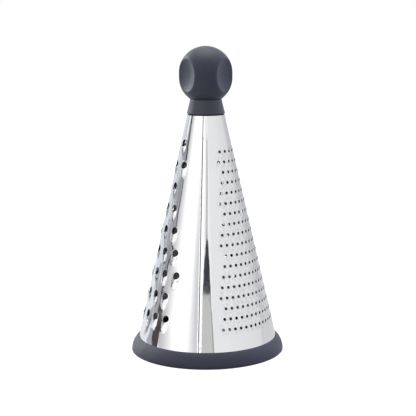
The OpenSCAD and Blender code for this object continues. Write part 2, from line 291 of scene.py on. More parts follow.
def scoop_height(zone, sheet, x, y):
    """Height of a tooth's scoop: an arched bulge, widest and highest at its
    lip, that runs out into the sheet at a round tip."""
    mouth_y = sheet.thickness - zone.hole_radius
    reach = min(max(mouth_y - y, 0.0) / zone.tail, 1.0)
    left = 1 - reach * reach
    half = max(zone.mouth / 2 * math.sqrt(left), TIP_HALF)
    crest = max(zone.rise * left, TIP_RISE)
    radius = (half * half + crest * crest) / (2 * crest)
    height = crest - radius + math.sqrt(max(radius * radius - x * x, 0.0))
    if abs(x) > half:
        height = (half - abs(x)) * half / (radius - crest)
    ahead = smooth((-LIP_START * zone.hole_radius - y) / (LIP_RUN * zone.hole_radius))
    from_swell = math.hypot(x, y + SWELL_PLACE * zone.tail)
    swell = math.exp(-(from_swell / (SWELL_REACH * zone.tail)) ** 2)
    out = (math.hypot(x, y) - zone.hole_radius) / zone.rim_width
    crater = zone.rim_rise * (1 - smooth(out)) * (1 - ahead)
    return soft_max(height, FILLET) * ahead + crater + zone.swell * swell


def burr_height(zone, x, y, ragged):
    """Height of the burr that the punch throws up round a fine hole."""
    out = (math.hypot(x, y) - zone.hole_radius) / zone.tail
    return zone.rise * ragged * (1 - smooth(out)) ** TAPER


def cell_slant(zone):
    """What is left of the shift between two rows beyond whole faces."""
    face = zone.pitch / zone.across
    return zone.skew - round(zone.skew / face) * face


def border_point(zone, step):
    """Point of a cell's border, counted from its lower left corner."""
    face = zone.pitch / zone.across
    row = zone.row_pitch / zone.along
    below = zone.row_pitch - zone.above
    sides = (
        (zone.across, -zone.pitch / 2, -below, face, 0.0),
        (zone.along, zone.pitch / 2, -below, 0.0, row),
        (zone.across, zone.pitch / 2, zone.above, -face, 0.0),
        (zone.along, -zone.pitch / 2, zone.above, 0.0, -row),
    )
    for count, x, y, right, up in sides:
        if step < count:
            x, y = x + right * step, y + up * step
            break
        step -= count
    return x + cell_slant(zone) * y / zone.row_pitch, y


def plain_cell(zone):
    """A cell of the sheet with no tooth."""
    bm = bmesh.new()
    bmesh.ops.create_grid(bm, x_segments=zone.across, y_segments=zone.along, size=0.5)
    for vert in bm.verts:
        y = (vert.co.y + 0.5) * zone.row_pitch + zone.above - zone.row_pitch
        vert.co = (vert.co.x * zone.pitch + cell_slant(zone) * y / zone.row_pitch, y, 0.0)
    return finish_cell(bm, "plain")


def punched_cell(zone, sheet, seed):
    """A cell with a hole and its tooth: a grid bent round the hole, with as
    many rings as the cell has faces across."""
    bm = bmesh.new()
    rings = zone.across
    count = 2 * (zone.across + zone.along)
    draw = random.Random(seed)
    ragged = [draw.uniform(*UNEVEN) for _ in range(count)]
    bmesh.ops.create_grid(bm, x_segments=count, y_segments=rings, size=0.5)
    for vert in bm.verts:
        step = round((vert.co.x + 0.5) * count) % count
        ring = round((vert.co.y + 0.5) * rings)
        turn = math.tau * (step - zone.across / 2) / count - math.pi / 2
        outer = Vector(border_point(zone, step))
        inner = Vector(rim_point(zone, sheet, turn))
        if zone.mouth:
            point = inner.lerp(outer, (ring / rings) ** CROWDING)
            height = scoop_height(zone, sheet, point.x, point.y)
            height *= 1 - smooth((ring / rings - FADE) / (1 - FADE))
            edge = 1 - smooth((point - inner).length / (RIM_REACH * zone.hole_radius))
            height -= RIM_DEPTH * sheet.thickness * edge
        else:
            grown = inner * (1 + zone.tail / zone.hole_radius * ring / (rings - 1))
            inside = ring < rings
            point = grown if inside else outer
            height = burr_height(zone, point.x, point.y, ragged[step]) if inside else 0.0
        vert.co = (point.x, point.y, height)
    bmesh.ops.remove_doubles(bm, verts=bm.verts, dist=SAME_POINT)
    if not zone.mouth:
        for face in bm.faces:
            face.material_index = MOTTLED
    return finish_cell(bm, "punched")


def new_mesh(name, bm):
    """Turns a bmesh into a mesh."""
    mesh = bpy.data.meshes.new(name)
    bm.to_mesh(mesh)
    bm.free()
    return mesh


def finish_cell(bm, name):
    """Turns a cell's faces outwards and keeps it as a mesh to stamp with."""
    for face in bm.faces:
        face.normal_update()
    downward = [face for face in bm.faces if face.normal.z < 0]
    bmesh.ops.reverse_faces(bm, faces=downward)
    return new_mesh(name, bm)


def stamp(bm, cell, x, y):
    """Adds a copy of a cell to the flat sheet."""
    known = len(bm.verts)
    bm.from_mesh(cell)
    bm.verts.ensure_lookup_table()
    bmesh.ops.translate(bm, vec=(x, y, 0.0), verts=bm.verts[known:])


def cut(bm, place, outwards, drop=True):
    """Cuts the flat sheet along a line, and drops what lies beyond it or not."""
    bmesh.ops.bisect_plane(
        bm, geom=bm.verts[:] + bm.edges[:] + bm.faces[:], dist=ON_CUT,
        plane_co=place, plane_no=outwards, clear_outer=drop,
    )


def flat_panel(sheet, zone, left, right, lap, short):
    """One third of the flat sheet, punched with its zone. x runs round the
    cone from the zone's middle and y runs up the slant from the table. The
    panel passes its left border by the lap and ends short of its right one."""
    apex, sine, cosine = cone(sheet)
    bottom, top = SHEET_BOX[0][2] / cosine, sheet.top / cosine
    plain = plain_cell(zone)
    punched = [punched_cell(zone, sheet, seed) for seed in range(VARIANTS)]
    draw = random.Random(SEED)
    bm = bmesh.new()
    first = math.floor((bottom - zone.low - zone.above) / zone.row_pitch)
    last = math.ceil((top - zone.low + zone.row_pitch) / zone.row_pitch)
    for row in range(first, last + 1):
        y = zone.low + row * zone.row_pitch
        base = zone.start + row * zone.skew
        narrowing = row / (zone.rows - 1)
        half = (zone.wide + (zone.narrow - zone.wide) * narrowing) / 2
        edge = (apex - y + zone.row_pitch) * sine * max(-left, right) + lap + zone.pitch
        for column in range(math.ceil((-edge - base) / zone.pitch),
                            math.floor((edge - base) / zone.pitch) + 1):
            x = base + column * zone.pitch
            in_zone = 0 <= row < zone.rows and abs(x) <= half
            stamp(bm, draw.choice(punched) if in_zone else plain, x, y)
    bmesh.ops.remove_doubles(bm, verts=bm.verts, dist=SAME_BORDER)
    cut(bm, (0, bottom, 0), (0, -1, 0))
    cut(bm, (0, top, 0), (0, 1, 0))
    cut(bm, (-lap, apex, 0), (-1, -left * sine, 0))
    cut(bm, (-short, apex, 0), (1, right * sine, 0))
    for cell in punched + [plain]:
        bpy.data.meshes.remove(cell)
    return bm


def sink_lap(bm, sheet, left):
    """Sinks the inner end behind the outer one, between carrier and plug, and
    gives it its finishes: behind the seam it is painted near-black, as shade seen through the
    seam's gap."""
    apex, sine, cosine = cone(sheet)
    low, high = CARRIER_BOX[1][2] / cosine, PLUG_BOX[0][2] / cosine
    for step in LAP_CUTS:
        cut(bm, (sheet.joggle * step, apex, 0), (1, left * sine, 0), drop=False)
    # Faces behind the seam's line take the near-black finish: painted shade, seen through the
    # seam's gap
    for face in bm.faces:
        middle = face.calc_center_median()
        if middle.x < left * sine * (apex - middle.y):
            face.material_index = DARK_RIM_AND_SHADE
        elif face.material_index == POLISHED:
            face.material_index = POLISHED_LAP
    behind = []
    for vert in bm.verts:
        past = vert.co.x - left * sine * (apex - vert.co.y)
        window = smooth((vert.co.y - low) / LAP_RUN) * smooth((high - vert.co.y) / LAP_RUN)
        deep = 1 - smooth(past / sheet.joggle)
        vert.co.z -= LAP_DEPTH * sheet.thickness * window * deep
        if past < -LAP_PAST and not low + LAP_RUN < vert.co.y < high - LAP_RUN:
            behind.append(vert)
    bmesh.ops.delete(bm, geom=behind, context="VERTS")


def roll(bm, sheet, facing):
    """Rolls the flat sheet into the cone."""
    apex, sine, cosine = cone(sheet)
    for vert in bm.verts:
        x, y, z = vert.co
        girth = (apex - y) * sine
        turn = facing + x / girth
        radius = girth + z * cosine
        vert.co = (radius * math.sin(turn), -radius * math.cos(turn), y * cosine + z * sine)


def weld_panels(bm, border):
    """Joins two panels across the narrow gap at one border."""
    def at_border(vert):
        turn = math.atan2(vert.co.x, -vert.co.y)
        return abs((turn - border + math.pi) % math.tau - math.pi) < WELD_NEAR

    edges = [
        edge for edge in bm.edges
        if edge.is_boundary and at_border(edge.verts[0]) and at_border(edge.verts[1])
    ]
    bmesh.ops.bridge_loops(bm, edges=edges)


def hard_edges(piece, degrees):
    """Bakes the modifiers in and shades smooth up to an angle."""
    depsgraph = bpy.context.evaluated_depsgraph_get()
    depsgraph.update()
    old = piece.data
    piece.data = bpy.data.meshes.new_from_object(piece.evaluated_get(depsgraph))
    piece.data.name = piece.name
    piece.modifiers.clear()
    bpy.data.meshes.remove(old)
    piece.data.shade_smooth()
    piece.data.set_sharp_from_angle(angle=math.radians(degrees))


def new_object(name, bm, material):
    """Makes a bmesh an object of the scene."""
    mesh = new_mesh(name, bm)
    mesh.materials.append(material)
    made = bpy.data.objects.new(name, mesh)
    bpy.context.scene.collection.objects.link(made)
    return made


def add_piece(name, bm, slot_name, material, *nodes):
    """Makes a bmesh a piece of the grater, in place of its frame nodes."""
    piece = new_object(name, bm, material)
    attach(piece, "root")
    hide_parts(*nodes)
    return piece


def zone_of(scene, name):
    """The zone's properties, with the values of its own."""
    zone = getattr(scene, "grater_" + name)
    for key, value in ZONES[name].items():
        setattr(zone, key, value)
    return zone


def make_sheet(scene):
    """The rolled sheet with its three zones, welded at two hidden borders
    and lapped at the seam."""
    sheet = scene.grater_sheet
    half = PANEL_HALF - WELD_HALF
    zones = {name: zone_of(scene, name) for name in ZONES}
    panels = (
        ("coarse", -half, sheet.seam - zones["coarse"].facing, 0.0, sheet.seam_gap),
        ("medium", -half, half, 0.0, 0.0),
        ("fine", sheet.seam - zones["fine"].facing, half, sheet.lap, 0.0),
    )
    whole = bmesh.new()
    for name, left, right, lap, short in panels:
        zone = zones[name]
        panel = flat_panel(sheet, zone, left, right, lap, short)
        if lap:
            sink_lap(panel, sheet, left)
        roll(panel, sheet, zone.facing)
        rolled = new_mesh(name, panel)
        whole.from_mesh(rolled)
        bpy.data.meshes.remove(rolled)
    for name in ("coarse", "medium"):
        weld_panels(whole, zones[name].facing - PANEL_HALF)
    polished, *others = sheet_finishes(scene.grater_finish)
    piece = add_piece("rolled_sheet", whole, "steel_sheet", polished, "cone_shell")
    for material in others:
        piece.data.materials.append(material)
    wall = piece.modifiers.new("Wall", "SOLIDIFY")
    wall.material_offset_rim = BRIGHT_RIM - POLISHED
    wall.thickness = sheet.thickness
    wall.offset = -1
    wall.use_even_offset = True
    wall.use_quality_normals = True
    hard_edges(piece, SHEET_CREASE)


def spun(outline, steps):
    """A turned form: the outline's points, as (radius, height), spun round Z."""
    bm = bmesh.new()
    verts = [bm.verts.new((radius, 0.0, height)) for radius, height in outline]
    edges = [bm.edges.new(pair) for pair in zip(verts, verts[1:])]
    if outline[0][0] or outline[-1][0]:
        edges.append(bm.edges.new((verts[-1], verts[0])))
    bmesh.ops.spin(
        bm, geom=verts + edges, cent=(0, 0, 0), axis=(0, 0, 1), dvec=(0, 0, 0),
        angle=math.tau, steps=steps, use_merge=True,
    )
    bmesh.ops.remove_doubles(bm, verts=bm.verts, dist=SAME_POINT)
    bmesh.ops.recalc_face_normals(bm, faces=bm.faces)
    return bm


def round_edges(bm, width, segments):
    """Rounds the edges of a turned form."""
    edges = [
        edge for edge in bm.edges
        if edge.is_manifold and edge.calc_face_angle(0.0) > math.radians(ROUNDED_EDGE)
    ]
    bmesh.ops.bevel(
        bm, geom=edges, offset=width, segments=segments, profile=0.5,
        affect="EDGES", material=-1,
    )


def arc(middle_r, middle_z, radius, start, end, steps):
    """Points of an arc in the outline's plane. Angles rise from the level."""
    turns = (start + (end - start) * step / steps for step in range(steps + 1))
    return [(middle_r + radius * math.cos(turn), middle_z + radius * math.sin(turn))
            for turn in turns]


def press_dimples(bm, knob, middle_z, inner_from):
    """Presses the thumb dimples into the skin, and the same form into its
    inside, which lies closer to the middle than a given radius."""
    press = (knob.dimple_radius ** 2 + knob.dimple_depth ** 2) / (2 * knob.dimple_depth)
    reach = math.sqrt(knob.radius ** 2 - knob.dimple_radius ** 2) + press - knob.dimple_depth
    for number in range(knob.dimple_count):
        turn = knob.first + number * math.tau / knob.dimple_count
        middle = Vector((reach * math.sin(turn), -reach * math.cos(turn), middle_z))
        for vert in bm.verts:
            away = vert.co - middle
            inside = (vert.co - Vector((0, 0, middle_z))).length < inner_from
            radius = press + knob.skin if inside else press
            near = max(knob.rim - abs(away.length - radius), 0.0) / knob.rim
            pushed = max(away.length, radius) + near * near * knob.rim / 4
            vert.co = middle + away * (pushed / away.length)


def make_knob(scene):
    """The soft skin of the ball knob, with its thumb dimples."""
    knob = scene.grater_knob
    low, high = GRIP_BOX[0][2], GRIP_BOX[1][2]
    radius = min(knob.radius, GRIP_BOX[1][0])
    ball_z = low + math.sqrt(radius ** 2 - knob.foot_radius ** 2)
    band = high - radius - ball_z
    foot = -math.acos(knob.foot_radius / radius)
    core = radius - knob.skin
    bore = scene.grater_neck.recess
    inner = -math.acos(bore / core)
    quarter = math.pi / 2
    outline = arc(0, ball_z + band, radius, quarter, 0, CROWN_STEPS)
    outline += arc(0, ball_z, radius, 0, foot, BALL_STEPS)
    outline += [(bore, low)]
    outline += arc(0, ball_z, core, inner, 0, CORE_STEPS)
    outline += arc(0, ball_z + band, core, 0, quarter, CORE_STEPS)
    outline[0] = (0.0, high)
    outline[-1] = (0.0, ball_z + band + core)
    bm = spun(outline, KNOB_STEPS)
    press_dimples(bm, knob, ball_z + band / 2, radius - INNER_FACE * knob.skin)
    round_edges(bm, KNOB_ROUNDING, segments=2)
    grip = grip_material(scene.grater_finish)
    piece = add_piece("soft_knob", bm, "soft_rubber", grip, "knob_grip")
    hard_edges(piece, MOULD_CREASE)


def make_collar(scene):
    """The flared collar between the sheet and the knob, a little glossier than
    the grips, with a groove over the steel whose faces are painted near-black as shade."""
    neck, finish = scene.grater_neck, scene.grater_finish
    low, high = COLLAR_BOX[0][2], COLLAR_BOX[1][2]
    step = high - neck.height + neck.groove
    foot = step - neck.groove
    groove_r = neck.foot_radius - neck.groove_depth
    outline = [(neck.bore, low), (neck.spigot, low), (neck.spigot, foot)]
    outline += [(groove_r, foot), (groove_r, step)]
    for part in range(FLARE_STEPS):
        risen = part / FLARE_STEPS
        radius = neck.foot_radius + (neck.top_radius - neck.foot_radius) * risen
        outline.append((radius - 4 * FLARE_HOLLOW * risen * (1 - risen),
                        step + (neck.height - neck.groove) * risen))
    outline += [
        (neck.top_radius, high), (neck.recess, high),
        (neck.recess, high - neck.recess_depth), (neck.bore, high - neck.recess_depth),
    ]
    bm = spun(outline, COLLAR_STEPS)
    round_edges(bm, neck.rounding, segments=3)
    # Faces inside the groove over the steel take near-black painted shade
    for face in bm.faces:
        middle = face.calc_center_median()
        in_groove = foot < middle.z < step + SAME_BORDER
        if in_groove and math.hypot(middle.x, middle.y) > neck.spigot:
            face.material_index = GROOVE_SHADE
    skin = moulded("satin_charcoal", finish.grip, finish.collar_gloss, 2200, 0.000012)
    # Near-black painted shade for the groove's faces
    groove_shade = moulded("groove_painted_shade", finish.groove, 0.75, 1500, 0.00001)
    piece = add_piece("flared_collar", bm, "soft_plastic", skin, "collar")
    piece.data.materials.append(groove_shade)
    hard_edges(piece, MOULD_CREASE)


def cone_radius(sheet, z):
    """Radius of the sheet's outer face at a height."""
    return sheet.foot_radius - (sheet.foot_radius - sheet.neck_radius) * z / sheet.top


def make_ring(scene):
    """The soft base ring: a round shoulder, a thin lip and a flat sole."""
    sheet, ring = scene.grater_sheet, scene.grater_ring
    top_r = cone_radius(sheet, ring.height) + ring.gap + ring.lip
    swell = ring.radius - top_r
    curve = (swell ** 2 + ring.height ** 2) / (2 * swell)
    shoulder = math.asin(ring.height / curve)
    bevel_turn = math.asin(ring.bevel / curve)
    channel_r = CARRIER_BOX[1][0] + ring.gap
    wall = sheet.thickness / cone(sheet)[2]
    inside = cone_radius(sheet, ring.sole) - wall - ring.gap - ring.carrier_wall
    outline = [(inside, 0.0), (ring.radius - ring.bevel, 0.0)]
    outline += arc(ring.radius - curve, 0, curve, bevel_turn, shoulder, SHOULDER_STEPS)
    outline += [
        (cone_radius(sheet, ring.height) + ring.gap, ring.height),
        (cone_radius(sheet, ring.channel) + ring.gap, ring.channel),
        (channel_r, ring.channel), (channel_r, ring.sole), (inside, ring.sole),
    ]
    bm = spun(outline, RING_STEPS)
    round_edges(bm, RING_ROUNDING, segments=2)
    grip = grip_material(scene.grater_finish)
    piece = add_piece("base_ring", bm, "soft_rubber", grip, "base_grip_ring")
    hard_edges(piece, MOULD_CREASE)


def new_material(name):
    """An empty node material and its tree."""
    material = bpy.data.materials.new(name)
    material.use_nodes = True
    material.node_tree.nodes.clear()
    return material, material.node_tree


def add_node(tree, kind, inputs):
    """A node, with each input set to a value or linked to a socket."""
    node = tree.nodes.new(kind)
    for name, value in inputs.items():
        if isinstance(value, bpy.types.NodeSocket):
            tree.links.new(value, node.inputs[name])
        else:
            node.inputs[name].default_value = value
    return node


def noise(tree, scale, detail=4.0, roughness=0.55, stretch=(1, 1, 1)):
    """Noise of so many features a metre, in stretched Object coordinates."""
    place = tree.nodes.new("ShaderNodeTexCoord").outputs["Object"]
    mapping = add_node(tree, "ShaderNodeMapping", {"Vector": place, "Scale": stretch})
    return add_node(tree, "ShaderNodeTexNoise", {
        "Vector": mapping.outputs["Vector"],
        "Scale": scale, "Detail": detail, "Roughness": roughness,
    }).outputs["Fac"]


def spread(tree, value, low, high, to_low, to_high):
    """Maps a value from one range to another."""
    return add_node(tree, "ShaderNodeMapRange", {
        "Value": value, "From Min": low, "From Max": high, "To Min": to_low, "To Max": to_high,
    }).outputs["Result"]


def bump(tree, height, depth, before=None):
    """A bump of so many metres, laid on an earlier one."""
    inputs = {"Height": height, "Distance": depth}
    if before is not None:
        inputs["Normal"] = before
    return add_node(tree, "ShaderNodeBump", inputs).outputs["Normal"]


def shaded(rgb, factor):
    """A colour made darker or lighter."""
    return tuple(min(value * factor, 1.0) for value in rgb)


def tint(tree, pattern, rgb, darkest, lightest):
    """Mixes two shades of a colour, on the node's colour sockets, by a pattern."""
    first, second = (*shaded(rgb, darkest), 1.0), (*shaded(rgb, lightest), 1.0)
    node = add_node(tree, "ShaderNodeMix", {0: pattern, 6: first, 7: second})
    node.data_type = "RGBA"
    return node.outputs[2]


# What nearly all values of a noise lie between
NOISE_RANGE = 0.3, 0.7


def surface(material, inputs):
    """Gives a material a Principled shader. Its roughness is a noise and the
    two values that the noise runs between."""
    tree = material.node_tree
    pattern, least, most = inputs["Roughness"]
    inputs["Roughness"] = spread(tree, pattern, *NOISE_RANGE, least, most)
    shader = add_node(tree, "ShaderNodeBsdfPrincipled", inputs)
    add_node(tree, "ShaderNodeOutputMaterial", {"Surface": shader.outputs["BSDF"]})
    return material


def steel_material(finish, mottled=False):
    """Mirror-polished stainless steel: faint clouding, fine polishing lines up
    the slant and a slight unevenness left by rolling and punching. Round the
    fine holes the press has mottled it."""
    material, tree = new_material("pressed_steel" if mottled else "polished_steel")
    if mottled:
        mottle = spread(tree, noise(tree, 620, detail=2), 0.36, 0.64, 0.0, 1.0)
        tone = tint(tree, mottle, finish.steel, 0.86, 1.06)
    else:
        tone = tint(tree, noise(tree, 55, detail=3), finish.steel, 0.96, 1.04)
    lines = noise(tree, 900, detail=2, stretch=(1, 1, 0.03))
    rolled = bump(tree, noise(tree, 38, detail=1.5), 0.0001)
    scratched = bump(tree, lines, 0.0000012, rolled)
    return surface(material, {
        "Metallic": 1.0,
        "Base Color": tone,
        "Roughness": (lines, finish.steel_gloss * 0.7, finish.steel_gloss * 1.5),
        "Normal": bump(tree, noise(tree, 1600, detail=2), 0.0000004, scratched),
    })


def sheared(name, rgb, grain_scale, stretch, shades, roughness, depth):
    """A sheared edge with its fine grain."""
    material, tree = new_material(name)
    grain = noise(tree, grain_scale, detail=3, stretch=(1, 1, stretch))
    return surface(material, {
        "Metallic": 1.0,
        "Base Color": tint(tree, grain, rgb, *shades),
        "Roughness": (grain, *roughness),
        "Normal": bump(tree, grain, depth),
    })


def sheet_finishes(finish):
    """The sheet's materials, in the order of its slots. The punch leaves the
    edges of the coarse and medium teeth bright. Those of the fine holes and the lap,
    and the crevice of the seam, are near-black: partly dull unpolished steel, partly painted
    shade in the hole walls and the crevice."""
    steel = steel_material(finish)
    bright = sheared("bright_edge", finish.steel, 1800, stretch=0.3,
                     shades=(0.8, 1.05), roughness=(0.12, 0.3), depth=0.000006)
    # Near-black: dull sheared steel, with painted shade in the seam's crevice and the fine
    # holes
    dark = sheared("cut_edge_and_shade", finish.cut_edge_and_shade, 2200, stretch=0.4,
                   shades=(0.7, 1.3), roughness=(0.45, 0.65), depth=0.00001)
    return steel, bright, steel, dark, steel_material(finish, mottled=True), dark


def moulded(name, rgb, gloss, grain, depth, specular=0.5, sheen=0.0):
    """A moulded surface: fine grain, slight clouding of tone and gloss."""
    known = bpy.data.materials.get(name)
    if known:
        return known
    material, tree = new_material(name)
    clouds = noise(tree, 60, detail=5)
    fine = noise(tree, grain, detail=3, roughness=0.6)
    return surface(material, {
        "Base Color": tint(tree, clouds, rgb, 0.88, 1.12),
        "Roughness": (clouds, gloss - 0.05, gloss + 0.06),
        "Normal": bump(tree, fine, depth),
        "Specular IOR Level": specular,
        "Sheen Weight": sheen,
        "Sheen Roughness": 0.4,
    })


def grip_material(finish):
    """Soft-touch charcoal rubber with a fine spark-eroded grain."""
    return moulded("soft_charcoal", finish.grip, finish.grip_gloss, 2600, 0.000018,
                   specular=0.35, sheen=0.05)


def turned_metal(name, rgb, gloss):
    """A turned metal part with fine rings and a cloudy coat."""
    material, tree = new_material(name)
    rings = noise(tree, 300, detail=2, stretch=(0.2, 0.2, 12))
    clouds = noise(tree, 240, detail=4)
    return surface(material, {
        "Metallic": 1.0,
        "Base Color": tint(tree, clouds, rgb, 0.85, 1.1),
        "Roughness": (clouds, gloss - 0.07, gloss + 0.1),
        "Normal": bump(tree, rings, 0.00002),
    })


def make_inner_parts(scene):
    """Gives the carrier, plug, knob core, insert, washer and screw their finish."""
    finish = scene.grater_finish
    plastic = moulded("rigid_charcoal", finish.plastic, 0.42, 1500, 0.00001)
    zinc = turned_metal("bright_zinc", finish.zinc, 0.28)
    brass = turned_metal("turned_brass", finish.brass, 0.3)
    finishes = {
        "base_carrier": plastic, "top_plug": plastic, "knob_core": plastic,
        "thread_insert": brass, "washer": zinc, "screw": zinc,
    }
    for name, material in finishes.items():
        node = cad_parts[name]
        if not node.material_slots:
            raise RuntimeError("the CAD node has no material slot: " + name)
        for slot in node.material_slots:
            slot.material = material


def math_node(tree, operation, first, second):
    """A Math node on two values, each a socket or a number."""
    node = add_node(tree, "ShaderNodeMath", {0: first, 1: second})
    node.operation = operation
    return node.outputs[0]


def seen_directly(tree):
    """One where a camera, mirror or glass ray looks, nought for other light."""
    path = tree.nodes.new("ShaderNodeLightPath")
    seen = path.outputs["Is Camera Ray"]
    for kind in ("Is Glossy Ray", "Is Transmission Ray"):
        seen = math_node(tree, "MAXIMUM", seen, path.outputs[kind])
    return seen


# The floor: the grey that lamps light, the glow that a camera sees, what of it
# a mirror misses, its share under the object, where it is cut back as painted shade, half its
# width, and its drop
FLOOR_GREY, FLOOR_GLOW, MIRROR_LESS, SHADED_SHARE_UNDER_OBJECT = 0.32, 0.88, 0.7, 0.2
FLOOR_HALF, FLOOR_DROP = 6.0, 0.1 * MM


def make_floor():
    """A plain white floor that keeps the object's shadow, with its glow cut back to painted
    shade under the object.
    """
    material, tree = new_material("white_floor")
    paint = add_node(tree, "ShaderNodeBsdfDiffuse", {
        "Color": (FLOOR_GREY, FLOOR_GREY, FLOOR_GREY, 1.0)})
    # Under the object the glow drops to a share: painted shade inside the ring's footprint
    place = tree.nodes.new("ShaderNodeTexCoord").outputs["Object"]
    away = add_node(tree, "ShaderNodeVectorMath", {0: place})
    away.operation = "LENGTH"
    outside = math_node(tree, "GREATER_THAN", away.outputs["Value"], RING_BOX[1][0])
    shade = math_node(tree, "MAXIMUM", outside, SHADED_SHARE_UNDER_OBJECT)
    glossy = tree.nodes.new("ShaderNodeLightPath").outputs["Is Glossy Ray"]
    level = math_node(
        tree, "SUBTRACT", FLOOR_GLOW, math_node(tree, "MULTIPLY", glossy, MIRROR_LESS))
    seen = math_node(tree, "MULTIPLY", seen_directly(tree), shade)
    glow = add_node(tree, "ShaderNodeEmission", {
        "Strength": math_node(tree, "MULTIPLY", seen, level)})
    both = add_node(tree, "ShaderNodeAddShader", {0: paint.outputs[0], 1: glow.outputs[0]})
    add_node(tree, "ShaderNodeOutputMaterial", {"Surface": both.outputs[0]})
    bm = bmesh.new()
    bmesh.ops.create_grid(bm, x_segments=1, y_segments=1, size=FLOOR_HALF)
    bmesh.ops.translate(bm, vec=(0, 0, -FLOOR_DROP), verts=bm.verts)
    floor = new_object("floor", bm, material)


# What the surround gives to all but mirrors and the camera
AMBIENT = 0.6


def make_world():
    """A white surround, which lights the object less than it shows."""
    world = bpy.data.worlds.new("studio")
    bpy.context.scene.world = world
    world.use_nodes = True
    tree = world.node_tree
    tree.nodes.clear()
    ambient = add_node(tree, "ShaderNodeBackground", {
        "Color": (0.97, 0.985, 1.0, 1.0), "Strength": AMBIENT})
    white = add_node(tree, "ShaderNodeBackground", {"Color": (1, 1, 1, 1)})
    mix = add_node(tree, "ShaderNodeMixShader", {
        0: seen_directly(tree), 1: ambient.outputs[0], 2: white.outputs[0]})
    add_node(tree, "ShaderNodeOutputWorld", {"Surface": mix.outputs[0]})


# The point that every lamp faces, about half way up the grater
LAMP_AIM = Vector((0.0, 0.0, 0.12))


def make_lamp(name, place, size, power):
    """A soft square lamp."""
    lamp = bpy.data.lights.new(name, "AREA")
    lamp.shape = "SQUARE"
    lamp.size = size
    lamp.energy = power
    holder = bpy.data.objects.new(name, lamp)
    holder.location = place
    holder.rotation_euler = (LAMP_AIM - Vector(place)).to_track_quat("-Z", "Y").to_euler()
    bpy.context.scene.collection.objects.link(holder)
    return holder


